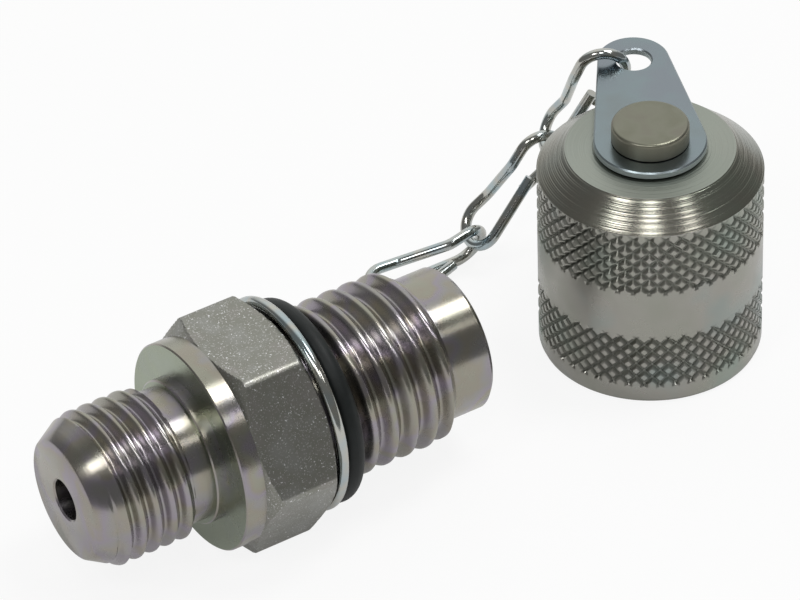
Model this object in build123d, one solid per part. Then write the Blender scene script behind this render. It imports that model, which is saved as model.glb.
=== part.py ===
from build123d import *
from math import cos, radians, sin, sqrt, tan
import os

os.makedirs("parts", exist_ok=True)

# A metal test point coupling lying on its side, with its cap standing beside it on a wire chain.
# Millimetres. X runs from the stud to the test end, Z is up, Y is to the left.
# The origin is on the coupling's axis in the plane of the sealing face.

# Named clearances
RUN = 0.08
PLAY = 0.1
CHAIN_PLAY = 0.15

# Coupling, lengths along X from the sealing face
SPANNER_SIZE = 19.0
FLOOR = -SPANNER_SIZE / 2
STUD_LENGTH = 12.3
STUD_R = 6.93
STUD_TIP_R = 5.42
STUD_LEAD = 2.6
RELIEF_R = 6.1
RELIEF_FROM = -3.4
STEP_R = 6.6
STEP_LENGTH = 1.15
COLLAR_R = SPANNER_SIZE / 2
COLLAR_LENGTH = 1.95
HEX_CORNER_R = SPANNER_SIZE / sqrt(3)
HEX_FROM = COLLAR_LENGTH
HEX_TO = 8.9
HEX_CHAMFER = 0.85
GROOVE_DEPTH = 2.05
CORE_R = COLLAR_R - GROOVE_DEPTH
TEST_R = 7.95
TEST_FROM = 12.3
TEST_TO = 22.6
THREAD_CHAMFER = 0.6
NOSE_R = 6.6
NOSE_TO = 26.9
NOSE_CHAMFER = 0.4

# Bores of the coupling
STUD_BORE_R = 1.85
CHAMBER_R = 3.2
CHAMBER_FROM = 0.7
INSERT_R = 4.5
INSERT_FROM = 12.9
INSERT_TO = 26.3

# Screwed-in insert with the valve's seat and the probe's guide bore
PROBE_BORE_R = 2.5
PROBE_BORE_FROM = 19.5
PASSAGE_R = 1.7
SEAT_R = 2.9
SEAT_FROM = 13.4
SEAL_SECTION_R = 0.75
PROBE_SEAL_X = 23.0
INSERT_SEAL_X = 17.2
GROOVE_SLACK = 0.15

# Valve poppet and spring
POPPET_HEAD_R = 2.75
POPPET_HEAD_FROM = 11.2
SKIRT_FROM = 9.0
SKIRT_FLATS = 5.3
STEM_R = 1.1
STEM_TO = 20.4
BOSS_R = 1.5
BOSS_LENGTH = 1.5
POPPET_SEAL_SECTION_R = 0.45
POPPET_SEAL_R = 2.15
SPRING_WIRE_R = 0.3
SPRING_R = 2.2
SPRING_TURNS = 4.5

# Dust seal ring between the chain ring and the test thread
DUST_SEAL_SECTION_R = 1.0
DUST_SEAL_R = CORE_R + DUST_SEAL_SECTION_R
DUST_SEAL_X = TEST_FROM - 0.1 - DUST_SEAL_SECTION_R

# Wire of the ring and of the links
WIRE_R = 0.5
RING_X = 9.65
RING_BELOW_COLLAR = 0.1
RING_R = COLLAR_R - RING_BELOW_COLLAR
EYE_R = 1.9
EYE_OUT = RING_R + 1.0
EYE_FILLET = 0.8
RING_LIFT = RING_R + WIRE_R - COLLAR_R

# One chain link: two hooks at right angles, half its length and half its width on the wire's centre
LINK_HALF_LENGTH = 6.4
LINK_HALF_WIDTH = 2.5
LINK_WAIST = 2.2
LINK_WAIST_WIDTH = 1.8
LINK_BEND = LINK_HALF_WIDTH - 0.4
WAIST_BEND = 2.0
SHORT_END = 0.3
SHORT_END_SIDE = 1.3
LONG_END = 2.2
LONG_END_SIDE = 1.1

# Cap, heights from the floor
CAP_X = 48.04
CAP_Y = 0.54
CAP_R = 10.05
CAP_HEIGHT = 20.9
CAP_CONE = 2.23
CAP_CONE_FROM = CAP_HEIGHT - CAP_CONE
CAP_TOP_R = 7.55
CAP_TOP_WALL = 3.9
CAP_DEPTH = CAP_HEIGHT - CAP_TOP_WALL
CAP_BORE_R = 6.92
CAP_MOUTH_R = 9.2
CAP_END_BORE_R = 5.6
CAP_EDGE = 0.25

# Tab and rivet
TAB_THICKNESS = 0.7
TAB_ABOVE_CAP = 0.15
TAB_R = 5.0
TAB_END_R = 3.2
TAB_REACH = 12.33
TAB_HOLE_R = 1.6
TAB_HOLE_REACH = 12.04
TAB_ANGLE = 62.7
TAB_EDGE = 0.12
RIVET_SHANK_R = 2.0
RIVET_HEAD_R = 3.45
RIVET_TOP = 2.67
RIVET_EDGE = 0.35
RIVET_TAIL_R = 3.2
RIVET_TAIL = 1.0
CAP_END_BORE = RIVET_TAIL + 0.6


def turned(points):
    """A solid turned about X from (x, radius) points that run along its outside and back."""
    return revolve(make_face(Polyline(*points, close=True)), Axis.X)


def ring_on_axis(x, radius, section):
    """A round seal ring about X."""
    return Pos(x, 0, 0) * Rot(0, 90, 0) * Torus(radius, section)


def bent_path(points, bends):
    """Straight lines through the points, with an arc of its own radius at each inner point."""
    edges = []
    start = Vector(*points[0])
    for before, at, after, bend in zip(points, points[1:], points[2:], bends):
        corner = Vector(*at)
        back = (Vector(*before) - corner).normalized()
        ahead = (Vector(*after) - corner).normalized()
        half = radians(back.get_angle(ahead)) / 2
        first = corner + back * (bend / tan(half))
        last = corner + ahead * (bend / tan(half))
        middle = corner + (back + ahead).normalized() * (bend / sin(half) - bend)
        edges += [Line(start, first), ThreePointArc(first, middle, last)]
        start = last
    edges.append(Line(start, Vector(*points[-1])))
    return Wire(edges)


def round_wire(path, radius):
    """A round wire along a path."""
    section = Plane(origin=path @ 0, z_dir=path % 0) * Circle(radius)
    return sweep(section, path=path)


def link_axes(direction, roll):
    """The link's own Y and Z directions: roll turns Y from level to upright about the link."""
    level = Vector(0, 0, 1).cross(direction).normalized()
    upright = direction.cross(level)
    own_y = level * cos(radians(roll)) + upright * sin(radians(roll))
    return own_y, direction.cross(own_y)


def link_plane(centre, direction, roll):
    """Where a link stands: its X along the link towards the tab."""
    own_y, own_z = link_axes(direction, roll)
    return Plane(origin=centre, x_dir=direction, z_dir=own_z)


def pointing(azimuth, elevation):
    """A unit vector from its two angles in degrees."""
    level = cos(radians(elevation))
    return Vector(level * cos(radians(azimuth)), level * sin(radians(azimuth)), sin(radians(elevation)))


# Coupling body: one turned bar with a spanner hexagon
bar = turned([
    (-STUD_LENGTH, 0), (-STUD_LENGTH, STUD_TIP_R), (STUD_LEAD - STUD_LENGTH, STUD_R),
    (RELIEF_FROM, STUD_R), (RELIEF_FROM - (RELIEF_R - STUD_R) * 0.5, RELIEF_R), (-STEP_LENGTH, RELIEF_R),
    (-STEP_LENGTH, STEP_R), (0, STEP_R), (0, COLLAR_R), (COLLAR_LENGTH, COLLAR_R),
    (COLLAR_LENGTH, CORE_R), (TEST_FROM, CORE_R), (TEST_FROM + THREAD_CHAMFER / 2, TEST_R),
    (TEST_TO - THREAD_CHAMFER, TEST_R), (TEST_TO, TEST_R - THREAD_CHAMFER), (TEST_TO, NOSE_R),
    (NOSE_TO - NOSE_CHAMFER, NOSE_R), (NOSE_TO, NOSE_R - NOSE_CHAMFER), (NOSE_TO, 0),
])
hexagon = Plane(origin=(HEX_FROM, 0, 0), x_dir=(0, 1, 0), z_dir=(1, 0, 0)) * extrude(
    RegularPolygon(HEX_CORNER_R, 6), HEX_TO - HEX_FROM)
hexagon &= turned([
    (HEX_FROM, 0), (HEX_FROM, COLLAR_R), (HEX_FROM + HEX_CHAMFER, HEX_CORNER_R),
    (HEX_TO - HEX_CHAMFER, HEX_CORNER_R), (HEX_TO, COLLAR_R), (HEX_TO, 0),
])
hollow = turned([
    (-STUD_LENGTH, 0), (-STUD_LENGTH, STUD_BORE_R), (CHAMBER_FROM, STUD_BORE_R), (CHAMBER_FROM, CHAMBER_R),
    (INSERT_FROM, CHAMBER_R), (INSERT_FROM, INSERT_R), (NOSE_TO, INSERT_R), (NOSE_TO, 0),
])
coupling_body = bar + hexagon - hollow

# Seals that sit still in the coupling
dust_seal_ring = ring_on_axis(DUST_SEAL_X, DUST_SEAL_R, DUST_SEAL_SECTION_R)
insert_seal = ring_on_axis(INSERT_SEAL_X, INSERT_R - SEAL_SECTION_R, SEAL_SECTION_R)
probe_seal = ring_on_axis(PROBE_SEAL_X, PROBE_BORE_R - 0.35 + SEAL_SECTION_R, SEAL_SECTION_R)


def seal_groove(x, inner, outer):
    """The square groove that a seal ring sits in."""
    half = SEAL_SECTION_R + GROOVE_SLACK
    return turned([(x - half, inner), (x - half, outer), (x + half, outer), (x + half, inner)])


valve_insert = turned([
    (INSERT_FROM, SEAT_R), (INSERT_FROM, INSERT_R), (INSERT_TO, INSERT_R), (INSERT_TO, PROBE_BORE_R),
    (PROBE_BORE_FROM, PROBE_BORE_R), (PROBE_BORE_FROM, PASSAGE_R), (SEAT_FROM + SEAT_R - PASSAGE_R, PASSAGE_R),
    (SEAT_FROM, SEAT_R),
])
valve_insert -= seal_groove(INSERT_SEAL_X, INSERT_R - 2 * SEAL_SECTION_R, INSERT_R + 1)
valve_insert -= seal_groove(PROBE_SEAL_X, 1, PROBE_BORE_R - 0.35 + 2 * SEAL_SECTION_R)

# Poppet, its seal and its spring
seat_line = SEAT_FROM + SEAT_R
cone_line = seat_line - PLAY * sqrt(2)
poppet_seal_x = seat_line - (POPPET_SEAL_SECTION_R + PLAY / 2) * sqrt(2) - POPPET_SEAL_R
poppet_seal = ring_on_axis(poppet_seal_x, POPPET_SEAL_R, POPPET_SEAL_SECTION_R)
valve_poppet = turned([
    (SKIRT_FROM - BOSS_LENGTH, 0), (SKIRT_FROM - BOSS_LENGTH, BOSS_R), (SKIRT_FROM, BOSS_R),
    (SKIRT_FROM, CHAMBER_R - RUN), (POPPET_HEAD_FROM, CHAMBER_R - RUN), (POPPET_HEAD_FROM, POPPET_HEAD_R),
    (cone_line - POPPET_HEAD_R, POPPET_HEAD_R), (cone_line - STEM_R, STEM_R), (STEM_TO, STEM_R), (STEM_TO, 0),
])
skirt_middle = (SKIRT_FROM + POPPET_HEAD_FROM) / 2
skirt_box = Pos(skirt_middle, 0, 0) * Box(POPPET_HEAD_FROM - SKIRT_FROM, SKIRT_FLATS, SKIRT_FLATS)
skirt_round = turned([
    (SKIRT_FROM, 0), (SKIRT_FROM, CHAMBER_R - RUN), (POPPET_HEAD_FROM, CHAMBER_R - RUN), (POPPET_HEAD_FROM, 0)])
valve_poppet -= skirt_round - skirt_box
valve_poppet -= poppet_seal
spring_from = CHAMBER_FROM + SPRING_WIRE_R
spring_to = SKIRT_FROM - SPRING_WIRE_R
coil = Helix((spring_to - spring_from) / SPRING_TURNS, spring_to - spring_from, SPRING_R)
valve_spring = Pos(spring_from, 0, 0) * Rot(0, 90, 0) * sweep(
    Plane(origin=coil @ 0, z_dir=coil % 0) * RegularPolygon(SPRING_WIRE_R, 8), path=coil, is_frenet=True)

# Chain ring: a wire ring in the groove with a bulge on the far side for the first link
ring_plane = Plane(origin=(RING_X, 0, RING_LIFT), x_dir=(0, 1, 0), z_dir=(1, 0, 0))
fillet_from_centre = RING_R + EYE_FILLET
fillet_from_eye = EYE_R + EYE_FILLET
fillet_x = (fillet_from_centre ** 2 + EYE_OUT ** 2 - fillet_from_eye ** 2) / (2 * EYE_OUT)
fillet_y = sqrt(fillet_from_centre ** 2 - fillet_x ** 2)
fillet_centre = Vector(fillet_x, fillet_y)
eye_centre = Vector(EYE_OUT, 0)
on_ring = fillet_centre.normalized() * RING_R
on_eye = eye_centre + (fillet_centre - eye_centre).normalized() * EYE_R
between = fillet_centre + ((on_ring + on_eye) / 2 - fillet_centre).normalized() * EYE_FILLET


def mirrored(point):
    """The same point on the eye's other side."""
    return Vector(point.X, -point.Y)


ring_path = ring_plane * Wire([
    ThreePointArc(on_ring, Vector(-RING_R, 0), mirrored(on_ring)),
    ThreePointArc(mirrored(on_ring), mirrored(between), mirrored(on_eye)),
    ThreePointArc(mirrored(on_eye), Vector(EYE_OUT + EYE_R, 0), on_eye),
    ThreePointArc(on_eye, between, on_ring),
])
chain_ring = round_wire(ring_path, WIRE_R)

# One link: the short hook's end, its bend, the waist, the long hook's bend and its end
link_wire = bent_path([
    (SHORT_END, -SHORT_END_SIDE, 0), (LINK_HALF_LENGTH, -LINK_HALF_WIDTH, 0),
    (LINK_HALF_LENGTH, LINK_HALF_WIDTH, 0), (LINK_WAIST, LINK_WAIST_WIDTH, 0), (-LINK_WAIST, 0, -LINK_WAIST_WIDTH),
    (-LINK_HALF_LENGTH, 0, -LINK_HALF_WIDTH), (-LINK_HALF_LENGTH, 0, LINK_HALF_WIDTH), (LONG_END, 0, LONG_END_SIDE),
], [LINK_BEND, LINK_BEND, WAIST_BEND, WAIST_BEND, LINK_BEND, LINK_BEND])
link = round_wire(link_wire, WIRE_R)

# Cap on the table, open downwards, with the tab's rivet through its top
cap_place = Pos(CAP_X, CAP_Y, FLOOR)


def turned_up(points):
    """A solid turned about the cap's axis from (radius, height) points."""
    face = Plane.XZ * make_face(Polyline(*points, close=True))
    return cap_place * revolve(face, Axis.Z)


cap_shell = turned_up([
    (CAP_MOUTH_R, 0), (CAP_R - CAP_EDGE, 0), (CAP_R, CAP_EDGE), (CAP_R, CAP_CONE_FROM), (CAP_TOP_R, CAP_HEIGHT),
    (RIVET_SHANK_R, CAP_HEIGHT), (RIVET_SHANK_R, CAP_DEPTH), (CAP_END_BORE_R, CAP_DEPTH),
    (CAP_END_BORE_R, CAP_DEPTH - CAP_END_BORE), (CAP_BORE_R, CAP_DEPTH - CAP_END_BORE),
    (CAP_BORE_R, CAP_MOUTH_R - CAP_BORE_R),
])
head_under = CAP_HEIGHT + TAB_ABOVE_CAP + TAB_THICKNESS + PLAY
head_top = CAP_HEIGHT + RIVET_TOP
tab_rivet = turned_up([
    (0, CAP_DEPTH - RIVET_TAIL), (RIVET_TAIL_R, CAP_DEPTH - RIVET_TAIL), (RIVET_TAIL_R, CAP_DEPTH),
    (RIVET_SHANK_R, CAP_DEPTH), (RIVET_SHANK_R, head_under), (RIVET_HEAD_R, head_under),
    (RIVET_HEAD_R, head_top), (0, head_top),
])
tab_rivet = fillet(tab_rivet.edges().group_by(Axis.Z)[-1], RIVET_EDGE)

# Tab: a flat stamping, round at the rivet and narrower at the chain's hole
outline = Sketch() + make_hull([
    *Circle(TAB_R).edges(), *(Pos(TAB_REACH, 0) * Circle(TAB_END_R)).edges()])
outline -= Circle(RIVET_SHANK_R + RUN)
outline -= Pos(TAB_HOLE_REACH, 0) * Circle(TAB_HOLE_R)
tab_place = cap_place * Pos(0, 0, CAP_HEIGHT + TAB_ABOVE_CAP) * Rot(0, 0, TAB_ANGLE)
flat_tab = extrude(outline, TAB_THICKNESS)
chain_tab = tab_place * chamfer(
    flat_tab.edges().group_by(Axis.Z)[0] + flat_tab.edges().group_by(Axis.Z)[-1], TAB_EDGE)

# The chain from the tab down: three links in sight, then two behind the coupling
TIP_GAP = 2 * WIRE_R + CHAIN_PLAY
TOP_AZIMUTH, TOP_ELEVATION, TOP_ROLL = -47.8, 58.8, 112.0
UPPER_AZIMUTH, UPPER_ELEVATION, UPPER_ROLL = -15.0, 50.1, 100.0
LYING_AZIMUTH, LYING_ELEVATION, LYING_ROLL = 8.2, -0.5, 110.0
LYING_HEIGHT = 2.52
STEEPEST = 1.1
FLOOR_ROLL = 94.0
EYE_ROLL = 84.0
strip_offset = (TAB_HOLE_R + TAB_END_R) / 2
strip = (tab_place * Pos(TAB_HOLE_REACH, strip_offset, TAB_THICKNESS / 2)).position
tab_left = Vector(0, 1, 0).rotate(Axis.Z, TAB_ANGLE)
eye_wire = Vector(RING_X, EYE_OUT + EYE_R, RING_LIFT)
eye_way = Vector(0, 0, 1)


def tip_way(lower_wire, upper_wire):
    """From a lower hook's wire towards the tab, square to it and to the wire hooked in it."""
    return lower_wire.cross(upper_wire).normalized()


def long_tip(place):
    """The middle of the long hook's wire."""
    return place.origin - place.x_dir * LINK_HALF_LENGTH


def next_below(upper, way, roll):
    """The link that holds the upper link's long hook in its short one."""
    own_y, own_z = link_axes(way, roll)
    short_tip = long_tip(upper) + tip_way(own_y, upper.z_dir) * TIP_GAP
    return link_plane(short_tip - way * LINK_HALF_LENGTH, way, roll)


def links_in_sight(steepness):
    """The top link with its short hook over the tab's strip, then the upper and the lying link."""
    top_way = pointing(TOP_AZIMUTH, TOP_ELEVATION * steepness)
    strip_half = (TAB_END_R - TAB_HOLE_R) / 2
    strip_rise = strip_half * abs(top_way.dot(tab_left)) + TAB_THICKNESS / 2 * top_way.Z
    tip_above_strip = strip_rise + CHAIN_PLAY + WIRE_R
    top = link_plane(strip + top_way * (tip_above_strip - LINK_HALF_LENGTH), top_way, TOP_ROLL)
    upper = next_below(top, pointing(UPPER_AZIMUTH, UPPER_ELEVATION * steepness), UPPER_ROLL)
    return top, upper, next_below(upper, pointing(LYING_AZIMUTH, LYING_ELEVATION), LYING_ROLL)


# The two upper links are as steep as brings the lying one to the floor, where the chain is long enough
steepness = 1.0
for _ in range(20):
    top_link, upper_link, lying_link = links_in_sight(steepness)
    too_high = lying_link.origin.Z - FLOOR - LYING_HEIGHT
    steepness = min(steepness + too_high / (2 * LINK_HALF_LENGTH), STEEPEST)

# The two lower links make an elbow that closes the chain between the eye and the lying link
eye_to_lying = long_tip(lying_link) - eye_wire
first_way = second_way = eye_to_lying.normalized()
for _ in range(30):
    first_y, first_z = link_axes(first_way, EYE_ROLL)
    second_y, second_z = link_axes(second_way, FLOOR_ROLL)
    gaps = tip_way(eye_way, first_z) + tip_way(first_y, second_z) + tip_way(second_y, lying_link.z_dir)
    both = (eye_to_lying + gaps * TIP_GAP) / (2 * LINK_HALF_LENGTH)
    along = both.normalized()
    down = (along * along.Z - Vector(0, 0, 1)).normalized()
    sag = down * sqrt(1 - both.length ** 2 / 4)
    first_way = (both / 2 + sag).normalized()
    second_way = (both / 2 - sag).normalized()
first_link_tip = eye_wire - tip_way(eye_way, link_axes(first_way, EYE_ROLL)[1]) * TIP_GAP
first_link = link_plane(first_link_tip + first_way * LINK_HALF_LENGTH, first_way, EYE_ROLL)
second_link = next_below(lying_link, second_way, FLOOR_ROLL)
link_places = [first_link, second_link, lying_link, upper_link, top_link]

pieces = {
    "coupling_body": coupling_body,
    "dust_seal_ring": dust_seal_ring,
    "valve_insert": valve_insert,
    "insert_seal": insert_seal,
    "probe_seal": probe_seal,
    "valve_poppet": valve_poppet,
    "poppet_seal": poppet_seal,
    "valve_spring": valve_spring,
    "chain_ring": chain_ring,
    "cap_shell": cap_shell,
    "tab_rivet": tab_rivet,
    "chain_tab": chain_tab,
}
for number, place in enumerate(link_places, 1):
    pieces[f"chain_link_{number}"] = place.location * link
for name, solid in pieces.items():
    export_step(solid, f"parts/{name}.step")
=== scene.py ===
"""Looks of a test point coupling that lies beside its knurled cap, joined by a wire chain.

Lengths in the forms below are millimetres in the row frame: X from the stud to the test end, Z up.
"""

import math

import bpy
import numpy as np
from mathutils import Matrix, Vector


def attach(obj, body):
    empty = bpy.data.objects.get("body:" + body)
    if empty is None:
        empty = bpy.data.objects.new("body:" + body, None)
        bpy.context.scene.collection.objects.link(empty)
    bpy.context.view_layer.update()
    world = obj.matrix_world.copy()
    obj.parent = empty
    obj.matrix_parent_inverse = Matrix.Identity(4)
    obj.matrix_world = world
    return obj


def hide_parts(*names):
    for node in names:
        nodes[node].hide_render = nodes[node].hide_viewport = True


MM = 0.001
FLOOR = -9.5
FLOOR_SIZE = 3.0

# Coupling, lengths along X from the sealing face
STUD_LENGTH = 12.3
STUD_BORE_R = 1.85
STUD_BORE_DEPTH = 13.0
STUD_TIP_R = 5.42
STUD_LEAD = 2.6
STUD_R = 6.93
STUD_ROOT_R = 6.25
STUD_PITCH = 1.5
STUD_GROOVE_AT = -9.18
STUD_RUN_OUT = 2.0
RELIEF_R = 6.1
RELIEF_FROM = -3.4
STEP_R = 6.6
STEP_LENGTH = 1.15
COLLAR_R = 9.5
COLLAR_LENGTH = 1.95
SPANNER_SIZE = 19.0
HEX_TO = 8.9
HEX_CHAMFER = 0.85
HEX_EDGE_R = 0.75
CORE_R = 7.45
TEST_R = 7.95
TEST_ROOT_R = 7.0
TEST_FROM = 12.3
TEST_TO = 22.6
TEST_PITCH = 2.0
TEST_GROOVE_AT = 14.95
TEST_START_SLOPE = 2.0
TEST_END_SLOPE = 1.2
NOSE_R = 6.6
NOSE_TO = 26.9
NOSE_EDGE = 0.4
NOSE_BORE_R = 4.5
NOSE_BORE_DEPTH = 14.0
EDGE = 0.12
BORE_EDGE = 0.15
NEAR_AXIS = 0.01

# Rounding of the threads, and steps of the coupling's meshes
THREAD_FLANK = 1.08
THREAD_CREST = 0.54
THREAD_STEPS = 18
THREAD_SLIVER = 1e-6
COUPLING_ROUND = 144
HEX_FLAT_STEPS = 14
HEX_CORNER_STEPS = 9
HEX_CHAMFER_STEPS = 8

# Cap, heights from the floor
CAP_X = 48.04
CAP_Y = 0.54
CAP_R = 10.05
CAP_HEIGHT = 20.9
CAP_CONE_FROM = 18.67
CAP_TOP_R = 7.55
CAP_BORE_R = 6.92
CAP_MOUTH_R = 9.2
CAP_RIM = 0.5
CAP_RIM_EDGE = 0.15
CAP_DEPTH = 17.0
CAP_END_BORE_R = 5.6
CAP_END_BORE_FROM = 15.4
RIVET_SHANK_R = 2.0
CAP_ROUND = 132

# Knurling: grooves crossing at 45 degrees
KNURL_ROUND = 44
LOWER_BAND = (1.66, 7.55)
UPPER_BAND = (12.05, CAP_CONE_FROM)
LOWER_PHASES = (0.09, 0.09)
UPPER_PHASES = (-0.34, -0.13)
KNURL_GROOVE = 0.25
KNURL_DEPTH = 0.3
KNURL_FADE = 0.45
KNURL_STEPS = 6

# Turning ridges on the cap's cone
CONE_RIDGES = 17
CONE_ROUND = 240
RIDGE_STEPS = 6
RIDGE_DEPTH = 0.008
RIDGE_UNEVEN = 0.3
RIDGE_DRIFT = 0.37

# Camera at the photograph's place, in metres
CAMERA_AT = Vector((-0.16333, -0.30744, 0.29162))
LOOKS_AT = Vector((0.03186, 0.01724, -0.0095))
CAMERA_ROLL = math.radians(-2.083)
CAMERA_LENS = 238.745
CAMERA_SENSOR = 36

# Light: the spot that the soft boxes face, their distance, and how bright floor and room look
LIT = Vector((0.025, 0, 0))
LAMP_DISTANCE = 0.7
FLOOR_PAINT = 0.88
FLOOR_TO_CAMERA = 0.88
FLOOR_TO_METAL = 0.3
BRIGHT_WAY = Vector((0.40, 0.69, 0.60)).normalized()
BRIGHT_FALL_OFF = (0.55, 0.93)
ROOM_STRENGTH = (0.2, 0.98)
ROOM_WHITE = (0.99, 1.0, 0.98)

# Plating: where the tints lie on the noise, and its marks, with painted glints and painted shade in the
# knurl's grooves
TINT_FROM = 0.34
TINT_SPAN = 0.32
PATCH_RANGE = (0.35, 0.65)
# Softness of the painted glints' edges
GLINT_EDGE = 0.05
LINE_PITCH = 0.2 * MM
LINE_DEPTH = 0.05 * MM
LINE_STRETCH = 0.02
# How far inside the knurl's tops the painted shade in its grooves fades out
GROOVE_SHADE_EDGE = 0.03
COLLAR_TINT_BETWEEN = (-5 * MM, -3 * MM)
OLIVE = (0.335, 0.33, 0.275)
BRONZE = (0.34, 0.315, 0.265)
LILAC = (0.335, 0.305, 0.345)
GREY = (0.33, 0.32, 0.31)
LEAF = (0.29, 0.34, 0.25)
FLANK_LILAC = (0.31, 0.27, 0.30)
# Painted shade for the knurl's grooves
GROOVE_SHADE = (0.13, 0.14, 0.12)


def put(tree, socket, value):
    """Gives a socket a constant, or links another node's output to it."""
    if isinstance(value, bpy.types.NodeSocket):
        tree.links.new(value, socket)
    else:
        socket.default_value = value


def add_node(tree, kind, inputs=None, **settings):
    """A node with its settings, and with a constant or a link for each input given."""
    node = tree.nodes.new(kind)
    for name, value in settings.items():
        setattr(node, name, value)
    for name, value in (inputs or {}).items():
        put(tree, node.inputs[name], value)
    return node


def map_range(tree, value, before, after, **settings):
    """A value mapped from one range to another and kept within it."""
    node = add_node(tree, "ShaderNodeMapRange", {
        "Value": value,
        "From Min": before[0],
        "From Max": before[1],
        "To Min": after[0],
        "To Max": after[1],
    }, **settings)
    return node.outputs["Result"]


def combine(tree, operation, first, second):
    """The result of a math node on two values."""
    return add_node(tree, "ShaderNodeMath", {0: first, 1: second}, operation=operation).outputs[0]


class Finish:
    """A surface whose tints drift over it, with fine marks, painted glints or turning lines where it has
    them.
    """

    def __init__(self, name, roughness, tints, tint_scale=110, metallic=1.0):
        self.material = bpy.data.materials.new(name)
        self.material.use_nodes = True
        self.tree = self.material.node_tree
        self.shader = self.tree.nodes["Principled BSDF"]
        self.place = self.add("ShaderNodeTexCoord").outputs
        self.set("Metallic", metallic)
        self.set("Roughness", roughness)
        drift = self.add("ShaderNodeValToRGB", {"Fac": self.noise(tint_scale, 3)})
        stops = drift.color_ramp.elements
        for _ in range(len(tints) - 2):
            stops.new(0.5)
        for i, (stop, tint) in enumerate(zip(stops, tints)):
            stop.position = TINT_FROM + TINT_SPAN * i / (len(tints) - 1)
            stop.color = (*tint, 1)
        self.colour = drift.outputs["Color"]
        self.set("Base Color", self.colour)
        self.normal = None

    def add(self, kind, inputs=None, **settings):
        return add_node(self.tree, kind, inputs, **settings)

    def set(self, socket, value):
        put(self.tree, self.shader.inputs[socket], value)

    def spread(self, value, before, after):
        return map_range(self.tree, value, before, after)

    def noise(self, scale, detail, stretch=(1, 1, 1)):
        """Noise in the object's own space."""
        where = self.add("ShaderNodeMapping", {"Vector": self.place["Object"], "Scale": stretch})
        texture = self.add("ShaderNodeTexNoise", {
            "Vector": where.outputs["Vector"],
            "Scale": scale,
            "Detail": detail,
        })
        return texture.outputs["Fac"]

    def facing(self, axis):
        """How far a face looks along an axis, from -1 to 1."""
        return self.add("ShaderNodeSeparateXYZ", {"Vector": self.place["Normal"]}).outputs[axis]

    def from_axis(self, x, y):
        """The distance from an upright axis."""
        flat = self.add("ShaderNodeMapping", {
            "Vector": self.place["Object"],
            "Scale": (1, 1, 0),
            "Location": (-x, -y, 0),
        })
        length = self.add("ShaderNodeVectorMath", {0: flat.outputs["Vector"]}, operation="LENGTH")
        return length.outputs["Value"]

    def marks(self, height, strength, depth):
        """A bump on top of those before it."""
        inputs = {"Height": height, "Strength": strength, "Distance": depth}
        if self.normal is not None:
            inputs["Normal"] = self.normal
        self.normal = self.add("ShaderNodeBump", inputs).outputs["Normal"]
        self.set("Normal", self.normal)

    def blend(self, share, tint):
        """Blends a tint over the colour by a share."""
        mix = self.add("ShaderNodeMixRGB", {"Fac": share, "Color1": self.colour, "Color2": (*tint, 1)})
        self.colour = mix.outputs["Color"]
        self.set("Base Color", self.colour)

    def uneven(self, scale, roughness):
        """Roughness that varies in patches."""
        self.set("Roughness", self.spread(self.noise(scale, 4), PATCH_RANGE, roughness))

    def painted_glints(self, scale, threshold, tint, share):
        """Painted glints: small bright flecks, as on a coarse plated face."""
        glints = self.spread(self.noise(scale, 1), (threshold, threshold + GLINT_EDGE), (0, share))
        self.blend(glints, tint)

    def change_upwards(self, between, roughness, shares, tint):
        """Roughness and a tint's share that change as a face turns upwards."""
        upward = self.facing("Z")
        self.set("Roughness", self.spread(upward, between, roughness))
        self.blend(self.spread(upward, between, shares), tint)

    def turned(self, axis, strength=0.55, rotation=0.25):
        """Highlights drawn out by the tool marks of a lathe."""
        tangent = self.add("ShaderNodeTangent", direction_type="RADIAL", axis=axis)
        self.set("Tangent", tangent.outputs["Tangent"])
        self.set("Anisotropic", strength)
        self.set("Anisotropic Rotation", rotation)

    def lined(self, axis, strength):
        """Turning lines across an axis."""
        stretch = [1.0 if name == axis else LINE_STRETCH for name in "XYZ"]
        self.marks(self.noise(0.5 / LINE_PITCH, 2, stretch), strength, LINE_DEPTH)

    def ringed(self, distance, pitch, strength):
        """Turning lines in rings round an axis."""
        rings = self.add("ShaderNodeTexNoise", {
            "W": distance,
            "Scale": 1 / pitch,
            "Detail": 2,
        }, noise_dimensions="1D")
        self.marks(rings.outputs["Fac"], strength, LINE_DEPTH)


zinc = Finish("zinc_body", 0.25, [OLIVE, BRONZE, GREY, LILAC, BRONZE, OLIVE, LILAC], 150)
zinc.turned("X", strength=0.75)
zinc.lined("X", 0.15)
zinc.uneven(350, (0.22, 0.3))
zinc.marks(zinc.noise(5000, 2), 0.05, 0.02 * MM)
facing_stud = zinc.facing("X")
zinc.blend(zinc.spread(facing_stud, (-0.3, -0.7), (0, 0.2)), FLANK_LILAC)
along = zinc.add("ShaderNodeSeparateXYZ", {"Vector": zinc.place["Object"]}).outputs["X"]
at_collar = zinc.spread(along, COLLAR_TINT_BETWEEN, (0, 0.8))
on_face = zinc.spread(facing_stud, (-0.9, -0.98), (0, 1))
zinc.blend(combine(zinc.tree, "MULTIPLY", on_face, at_collar), LEAF)

hexagon_zinc = Finish("hexagon_zinc", 0.4, [
    (0.30, 0.30, 0.28),
    (0.26, 0.26, 0.23),
    (0.29, 0.28, 0.26),
], 350)
hexagon_zinc.marks(hexagon_zinc.noise(3500, 3), 0.3, 0.05 * MM)
# Painted glints: grey and white flecks over the hexagon's faces
hexagon_zinc.painted_glints(7000, 0.62, (0.55, 0.54, 0.53), 0.6)
hexagon_zinc.painted_glints(5200, 0.69, (0.95, 0.95, 0.97), 0.9)

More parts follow.
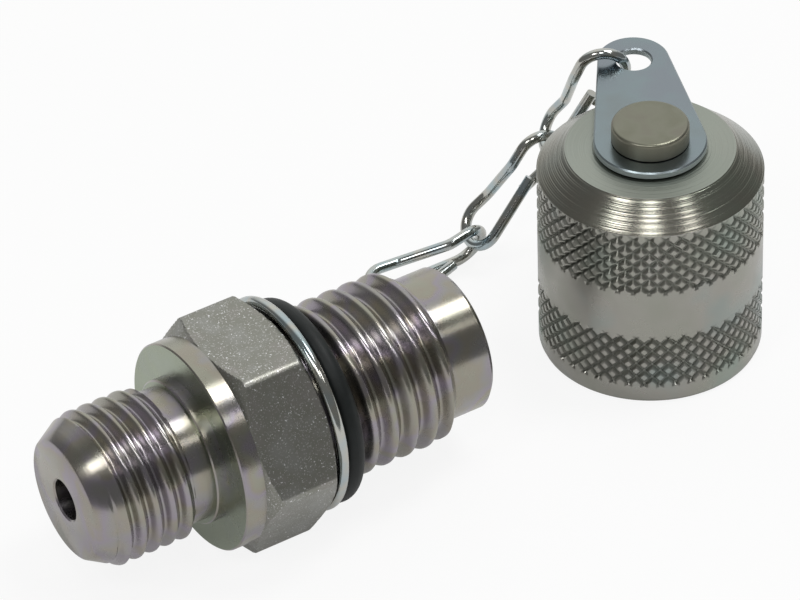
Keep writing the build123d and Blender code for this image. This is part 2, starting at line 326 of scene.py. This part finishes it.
cap_zinc = Finish("zinc_cap", 0.3, [
    (0.30, 0.34, 0.30),
    (0.33, 0.33, 0.29),
    (0.35, 0.34, 0.31),
    (0.31, 0.34, 0.32),
])
cap_zinc.turned("Z")
# Painted shade: the knurl's grooves are painted darker towards their bottoms
groove_reach = ((CAP_R - KNURL_DEPTH) * MM, (CAP_R - GROOVE_SHADE_EDGE) * MM)
painted_groove_shade = cap_zinc.spread(cap_zinc.from_axis(CAP_X * MM, CAP_Y * MM), groove_reach, (0.75, 0))
cap_zinc.blend(painted_groove_shade, GROOVE_SHADE)
cap_zinc.uneven(400, (0.26, 0.34))
cap_zinc.marks(cap_zinc.noise(4000, 2), 0.08, 0.02 * MM)

cone_zinc = Finish("cone_zinc", 0.22, [
    (0.28, 0.30, 0.25),
    (0.29, 0.28, 0.24),
    (0.30, 0.31, 0.28),
])
cone_zinc.turned("Z", strength=0.3, rotation=0)
cone_zinc.ringed(cone_zinc.from_axis(CAP_X * MM, CAP_Y * MM), 0.3 * MM, 0.6)
cone_zinc.change_upwards((0.85, 0.97), (0.2, 0.42), (0, 0.8), (0.31, 0.335, 0.30))

wire_zinc = Finish("bright_zinc", 0.13, [
    (0.42, 0.50, 0.52),
    (0.50, 0.49, 0.45),
    (0.40, 0.47, 0.50),
], 260)
wire_zinc.marks(wire_zinc.noise(900, 3), 0.2, 0.05 * MM)

tab_zinc = Finish("tab_zinc", 0.24, [
    (0.23, 0.265, 0.275),
    (0.24, 0.29, 0.31),
    (0.24, 0.27, 0.30),
], 200)
tab_zinc.marks(tab_zinc.noise(1200, 4), 0.08, 0.03 * MM)
# Painted light: the tab's sides are painted much lighter than its top
tab_zinc.change_upwards((0.3, 0.8), (0.65, 0.24), (0.8, 0), (0.6, 0.66, 0.66))

rivet_steel = Finish("rivet_steel", 0.33, [
    (0.20, 0.20, 0.155),
    (0.22, 0.22, 0.175),
    (0.21, 0.20, 0.165),
], 400)
rivet_steel.marks(rivet_steel.noise(2500, 3), 0.15, 0.03 * MM)
# Painted light: the rivet's sides are painted lighter than its head's top
rivet_steel.change_upwards((0.3, 0.8), (0.5, 0.33), (0.8, 0), (0.30, 0.29, 0.23))

plain_steel = Finish("plain_steel", 0.3, [(0.42, 0.42, 0.41), (0.45, 0.45, 0.44)])
plain_steel.turned("X")
plain_steel.lined("X", 0.2)

rubber = Finish("seal_rubber", 0.5, [(0.006, 0.008, 0.008), (0.010, 0.013, 0.013)], 800, metallic=0.0)
rubber.set("Specular IOR Level", 0.3)
rubber.marks(rubber.noise(3000, 2), 0.1, 0.02 * MM)

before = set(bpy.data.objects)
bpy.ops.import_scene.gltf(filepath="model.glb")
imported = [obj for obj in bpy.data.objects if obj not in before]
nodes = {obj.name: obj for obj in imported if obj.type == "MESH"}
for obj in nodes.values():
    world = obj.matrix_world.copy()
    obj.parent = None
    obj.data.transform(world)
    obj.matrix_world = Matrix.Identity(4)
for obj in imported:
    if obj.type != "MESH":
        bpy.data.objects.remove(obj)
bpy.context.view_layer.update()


def dress(node, finish):
    """Gives a CAD node a better material."""
    slots = nodes[node].data.materials
    for i in range(len(slots)):
        slots[i] = finish.material


for node in ("dust_seal_ring", "insert_seal", "probe_seal", "poppet_seal"):
    dress(node, rubber)
for node in ("valve_insert", "valve_poppet", "valve_spring"):
    dress(node, plain_steel)
for node in ("chain_ring", *(f"chain_link_{i}" for i in range(1, 6))):
    dress(node, wire_zinc)
dress("chain_tab", tab_zinc)
dress("tab_rivet", rivet_steel)


def new_piece(name, points, faces, finish, body, smooth_below):
    """A mesh piece from points in millimetres that rides on a CAD body."""
    mesh = bpy.data.meshes.new(name)
    mesh.from_pydata((np.asarray(points) * MM).tolist(), [], faces)
    mesh.validate()
    mesh.shade_smooth()
    mesh.set_sharp_from_angle(angle=math.radians(smooth_below))
    mesh.materials.append(finish.material)
    piece = bpy.data.objects.new(name, mesh)
    bpy.context.scene.collection.objects.link(piece)
    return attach(piece, body)


def joined(parts):
    """One mesh from several pairs of points and faces."""
    points = []
    faces = []
    for more_points, more_faces in parts:
        faces += [tuple(v + len(points) for v in face) for face in more_faces]
        points += list(more_points)
    return np.array(points), faces


def grid_faces(rows, columns, first=0):
    """Quads over rows of points, each row going once round."""
    faces = []
    for i in range(rows - 1):
        for j in range(columns):
            a = first + i * columns + j
            b = first + i * columns + (j + 1) % columns
            faces.append((a, a + columns, b + columns, b))
    return faces


def rings_about_x(angles, bands):
    """Points and faces of bands, each with rows of (x, radius), where the radius may vary round X."""
    points = []
    faces = []
    for band in bands:
        faces += grid_faces(len(band), len(angles), len(points))
        for x, radius in band:
            along = np.full(angles.shape, float(x))
            points += list(np.stack([along, radius * np.cos(angles), radius * np.sin(angles)], -1))
    return points, faces


def along_x(points):
    """From (x, a, b) to the row frame, with a towards the camera's side and b up."""
    return np.stack([points[:, 0], -points[:, 1], points[:, 2]], -1)


def thread(x_from, x_to, pitch, groove_at, root, crest, limit):
    """A right-handed thread with rounded crests and roots; limit(x) is the outline that cuts its crests."""
    profile = []
    for k in range(THREAD_STEPS):
        up = 1 - abs(2 * k / THREAD_STEPS - 1)
        up = min(max(THREAD_FLANK * (up - 0.5) + THREAD_CREST, 0), 1)
        profile.append((pitch * k / THREAD_STEPS, up * up * (3 - 2 * up)))
    turns = int((x_to - x_from) / pitch) + 4
    start = groove_at - pitch * (math.ceil((groove_at - x_from) / pitch) + 1)
    points = []
    for turn in range(turns):
        for offset, height in profile:
            for j in range(COUPLING_ROUND):
                x = start + pitch * (turn + j / COUPLING_ROUND) + offset
                x = min(max(x, x_from), x_to)
                radius = min(root + (crest - root) * height, limit(x))
                angle = -2 * math.pi * j / COUPLING_ROUND
                points.append((x, radius * math.cos(angle), radius * math.sin(angle)))
    faces = []
    for i in range((turns - 1) * THREAD_STEPS - 1):
        for j in range(COUPLING_ROUND):
            a = i * COUPLING_ROUND + j
            b = a + 1 if j < COUPLING_ROUND - 1 else (i + THREAD_STEPS) * COUPLING_ROUND
            quad = (a, a + COUPLING_ROUND, b + COUPLING_ROUND, b)
            reach = [points[v][0] for v in quad]
            if max(reach) - min(reach) > THREAD_SLIVER:
                faces.append(quad)
    return points, faces


# Turned outside of the coupling, with both threads
stud_slope = (STUD_R - STUD_TIP_R) / STUD_LEAD
stud_thread_from = -STUD_LENGTH + (RELIEF_R - STUD_TIP_R) / stud_slope
stud_thread_to = RELIEF_FROM + (STUD_R - RELIEF_R) / STUD_RUN_OUT


def stud_limit(x):
    lead = STUD_TIP_R + (x + STUD_LENGTH) * stud_slope
    run_out = STUD_R - max(0, x - RELIEF_FROM) * STUD_RUN_OUT
    return min(lead, run_out, STUD_R)


def test_limit(x):
    start = TEST_ROOT_R + (x - TEST_FROM) * TEST_START_SLOPE
    end = TEST_ROOT_R + (TEST_TO - x) * TEST_END_SLOPE
    return min(start, end, TEST_R)


round_the_bar = np.linspace(0, 2 * math.pi, COUPLING_ROUND, endpoint=False)
stud_end = [
    (-STUD_LENGTH + STUD_BORE_DEPTH, NEAR_AXIS),
    (-STUD_LENGTH + STUD_BORE_DEPTH, STUD_BORE_R),
    (-STUD_LENGTH + BORE_EDGE, STUD_BORE_R),
    (-STUD_LENGTH, STUD_BORE_R + BORE_EDGE),
    (-STUD_LENGTH, STUD_TIP_R - EDGE),
    (-STUD_LENGTH + EDGE, STUD_TIP_R + EDGE * stud_slope),
    (stud_thread_from, RELIEF_R),
]
relief_and_collar = [
    (stud_thread_to, RELIEF_R),
    (-STEP_LENGTH, RELIEF_R),
    (-STEP_LENGTH, STEP_R - EDGE),
    (-STEP_LENGTH + EDGE, STEP_R),
    (0, STEP_R),
    (0, COLLAR_R - EDGE),
    (EDGE, COLLAR_R),
    (COLLAR_LENGTH, COLLAR_R),
]
ring_groove = [
    (HEX_TO, COLLAR_R),
    (HEX_TO, CORE_R),
    (TEST_FROM, CORE_R),
    (TEST_FROM, TEST_ROOT_R),
]
nose = [
    (TEST_TO, TEST_ROOT_R),
    (TEST_TO, NOSE_R),
    (NOSE_TO - NOSE_EDGE, NOSE_R),
    (NOSE_TO, NOSE_R - NOSE_EDGE),
    (NOSE_TO, NOSE_BORE_R),
    (NOSE_TO - NOSE_BORE_DEPTH, NOSE_BORE_R),
    (NOSE_TO - NOSE_BORE_DEPTH, NEAR_AXIS),
]
points, faces = joined([
    rings_about_x(round_the_bar, [stud_end, relief_and_collar, ring_groove, nose]),
    thread(stud_thread_from, stud_thread_to, STUD_PITCH, STUD_GROOVE_AT, STUD_ROOT_R, STUD_R, stud_limit),
    thread(TEST_FROM, TEST_TO, TEST_PITCH, TEST_GROOVE_AT, TEST_ROOT_R, TEST_R, test_limit),
])
coupling = new_piece("coupling_turned", along_x(points), faces, zinc, "coupling", 40)
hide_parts("coupling_body")

# Spanner hexagon with rounded corners, chamfered at both ends
corner_r = SPANNER_SIZE / math.sqrt(3)
half_side = math.pi / 6
edge_centre = (SPANNER_SIZE / 2 - HEX_EDGE_R) / math.cos(half_side)
edge_half = math.atan2(HEX_EDGE_R * math.sin(half_side), edge_centre + HEX_EDGE_R * math.cos(half_side))
from_corner = np.concatenate([
    np.linspace(-half_side, -edge_half, HEX_FLAT_STEPS, endpoint=False),
    np.linspace(-edge_half, edge_half, HEX_CORNER_STEPS),
    np.linspace(edge_half, half_side, HEX_FLAT_STEPS, endpoint=False)[1:],
])
sideways = np.minimum(HEX_EDGE_R, edge_centre * np.abs(np.sin(from_corner)))
rounded = edge_centre * np.cos(from_corner) + np.sqrt(HEX_EDGE_R ** 2 - sideways ** 2)
flat = SPANNER_SIZE / 2 / np.cos(half_side - np.abs(from_corner))
section = np.tile(np.where(np.abs(from_corner) <= edge_half + 1e-9, rounded, flat), 6)
hex_angles = np.concatenate([from_corner + k * math.pi / 3 for k in range(6)])
stud_side = [(COLLAR_LENGTH, COLLAR_R)]
test_side = [(HEX_TO, COLLAR_R)]
for k in range(1, HEX_CHAMFER_STEPS + 1):
    share = k / HEX_CHAMFER_STEPS
    cut = np.minimum(section, COLLAR_R + (corner_r - COLLAR_R) * share)
    stud_side.append((COLLAR_LENGTH + HEX_CHAMFER * share, cut))
    test_side.insert(0, (HEX_TO - HEX_CHAMFER * share, cut))
points, faces = joined([rings_about_x(hex_angles, [stud_side + test_side])])
hexagon = new_piece("spanner_hexagon", along_x(points), faces, hexagon_zinc, "coupling", 20)


def knurl_depth(phase_a, phase_b, height, band):
    """How far the crossing grooves cut in, fading out at the band's two edges."""
    fade = min(height - band[0], band[1] - height) / KNURL_FADE
    fade = min(max(fade, 0), 1)
    nearest = min(abs(phase_a - round(phase_a)), abs(phase_b - round(phase_b)))
    return KNURL_DEPTH * max(0, fade - nearest / KNURL_GROOVE)


def cap_point(angle, radius, height):
    return (CAP_X + radius * math.cos(angle), CAP_Y + radius * math.sin(angle), FLOOR + height)


def knurled_band(band, first_a, first_b):
    """Points and faces of a knurled band, as fine cells in step with both families of grooves."""
    fine = 2 * KNURL_STEPS
    columns = KNURL_ROUND * fine
    girth = 2 * math.pi * CAP_R
    rows = round((band[1] - band[0]) / (girth / columns))
    per_height = KNURL_ROUND / girth
    turn_from = -(first_a + per_height * band[0]) / KNURL_ROUND
    behind = round((first_b - first_a - 2 * per_height * band[0]) * fine)
    points = []
    for i in range(rows + 1):
        height = band[0] + (band[1] - band[0]) * i / rows
        for j in range(columns):
            depth = knurl_depth((j + i) / fine, (j - i + behind) / fine, height, band)
            points.append(cap_point(2 * math.pi * (j / columns + turn_from), CAP_R - depth, height))
    faces = []
    for i in range(rows):
        for j in range(columns):
            a = i * columns + j
            b = i * columns + (j + 1) % columns
            faces.append((a, b, b + columns, a + columns))
    return points, faces


def turned_band(rows, columns):
    """Points and faces turned about the cap's axis from (radius, height) rows."""
    points = [cap_point(2 * math.pi * j / columns, r, h) for r, h in rows for j in range(columns)]
    return points, grid_faces(len(rows), columns)


# Cap's inside, rim, plain band and knurled bands
inside_and_rim = [
    (RIVET_SHANK_R, CAP_DEPTH),
    (CAP_END_BORE_R, CAP_DEPTH),
    (CAP_END_BORE_R, CAP_END_BORE_FROM),
    (CAP_BORE_R, CAP_END_BORE_FROM),
    (CAP_BORE_R, CAP_MOUTH_R - CAP_BORE_R),
    (CAP_MOUTH_R, 0),
    (CAP_R - CAP_RIM, 0),
    (CAP_R - CAP_RIM_EDGE, CAP_RIM_EDGE),
    (CAP_R, CAP_RIM),
    (CAP_R, LOWER_BAND[0]),
]
plain_band = [(CAP_R, LOWER_BAND[1]), (CAP_R, UPPER_BAND[0])]
points, faces = joined([
    knurled_band(LOWER_BAND, *LOWER_PHASES),
    knurled_band(UPPER_BAND, *UPPER_PHASES),
    turned_band(inside_and_rim, CAP_ROUND),
    turned_band(plain_band, CAP_ROUND),
])
cap = new_piece("cap_knurled", points, faces, cap_zinc, "cap", 28)
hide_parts("cap_shell")

# Cap's cone with its turning ridges, and its flat top
cone_slope = (CAP_R - CAP_TOP_R) / (CAP_HEIGHT - CAP_CONE_FROM)
cone_rows = []
for k in range(CONE_RIDGES * RIDGE_STEPS + 1):
    height = CAP_CONE_FROM + (CAP_HEIGHT - CAP_CONE_FROM) * k / (CONE_RIDGES * RIDGE_STEPS)
    turn = 2 * math.pi * k / RIDGE_STEPS
    share = 1 - RIDGE_UNEVEN + RIDGE_UNEVEN * math.sin(RIDGE_DRIFT * turn + 1)
    cut = RIDGE_DEPTH * (1 - math.cos(turn)) * share
    cone_rows.append((CAP_R - (height - CAP_CONE_FROM) * cone_slope - cut, height))
points, faces = turned_band(cone_rows + [(RIVET_SHANK_R, CAP_HEIGHT)], CONE_ROUND)
cone = new_piece("cap_cone", points, faces, cone_zinc, "cap", 35)

# Floor: glows to the camera and a little to the metal, and keeps a faint shadow
bpy.ops.mesh.primitive_plane_add(size=FLOOR_SIZE, location=(0, 0, FLOOR * MM))
floor = bpy.context.object
floor.name = "pale_floor"
floor_material = bpy.data.materials.new("floor_white")
floor_material.use_nodes = True
floor_tree = floor_material.node_tree
paint = floor_tree.nodes["Principled BSDF"]
put(floor_tree, paint.inputs["Base Color"], (FLOOR_PAINT, FLOOR_PAINT, FLOOR_PAINT, 1))
put(floor_tree, paint.inputs["Roughness"], 1.0)
put(floor_tree, paint.inputs["Specular IOR Level"], 0.0)
seen_by = add_node(floor_tree, "ShaderNodeLightPath").outputs
camera_glow = combine(floor_tree, "MULTIPLY", seen_by["Is Camera Ray"], FLOOR_TO_CAMERA)
metal_glow = combine(floor_tree, "MULTIPLY", seen_by["Is Glossy Ray"], FLOOR_TO_METAL)
surface = add_node(floor_tree, "ShaderNodeMixShader", {
    0: combine(floor_tree, "MAXIMUM", camera_glow, metal_glow),
    1: paint.outputs["BSDF"],
    2: add_node(floor_tree, "ShaderNodeEmission").outputs["Emission"],
})
put(floor_tree, floor_tree.nodes["Material Output"].inputs["Surface"], surface.outputs["Shader"])
floor.data.materials.append(floor_material)

# Camera, aimed from the photograph's place
camera_data = bpy.data.cameras.new("photo_camera")
camera_data.lens = CAMERA_LENS
camera_data.sensor_width = CAMERA_SENSOR
camera_data.clip_start = 0.01
camera = bpy.data.objects.new("photo_camera", camera_data)
bpy.context.scene.collection.objects.link(camera)
aim = (LOOKS_AT - CAMERA_AT).to_track_quat("-Z", "Y").to_matrix().to_4x4()
camera.matrix_world = Matrix.Translation(CAMERA_AT) @ aim @ Matrix.Rotation(CAMERA_ROLL, 4, "Z")
bpy.context.scene.camera = camera


def soft_box(name, direction, size, radiance):
    """A soft box that faces the object from that direction, as bright as its radiance."""
    light = bpy.data.lights.new(name, "AREA")
    light.shape = "RECTANGLE"
    light.size, light.size_y = size
    light.energy = radiance * math.pi * size[0] * size[1]
    lamp = bpy.data.objects.new(name, light)
    way = Vector(direction).normalized()
    lamp.location = LIT + way * LAMP_DISTANCE
    lamp.rotation_euler = way.to_track_quat("Z", "Y").to_euler()
    bpy.context.scene.collection.objects.link(lamp)


soft_box("box_camera", (-0.27, -0.45, 0.85), (0.12, 0.16), 9)
soft_box("box_right", (0.21, -0.57, 0.79), (0.09, 0.12), 7)
soft_box("box_left", (-0.60, -0.17, 0.78), (0.18, 0.14), 8)
soft_box("box_above", (0.38, -0.09, 0.92), (0.19, 0.3), 9)

# Room: bright above and behind the object, dark elsewhere, and white to the camera
world = bpy.data.worlds.new("studio")
world.use_nodes = True
room = world.node_tree
way_out = add_node(room, "ShaderNodeTexCoord").outputs["Generated"]
towards = add_node(room, "ShaderNodeVectorMath", {0: way_out, 1: BRIGHT_WAY}, operation="DOT_PRODUCT")
facing_light = towards.outputs["Value"]
shade = map_range(room, facing_light, BRIGHT_FALL_OFF, ROOM_STRENGTH, interpolation_type="SMOOTHSTEP")
seen_directly = add_node(room, "ShaderNodeLightPath").outputs["Is Camera Ray"]
background = room.nodes["Background"]
put(room, background.inputs["Color"], (*ROOM_WHITE, 1))
put(room, background.inputs["Strength"], combine(room, "MAXIMUM", shade, seen_directly))
bpy.context.scene.world = world
bpy.context.scene.view_settings.view_transform = "Standard"
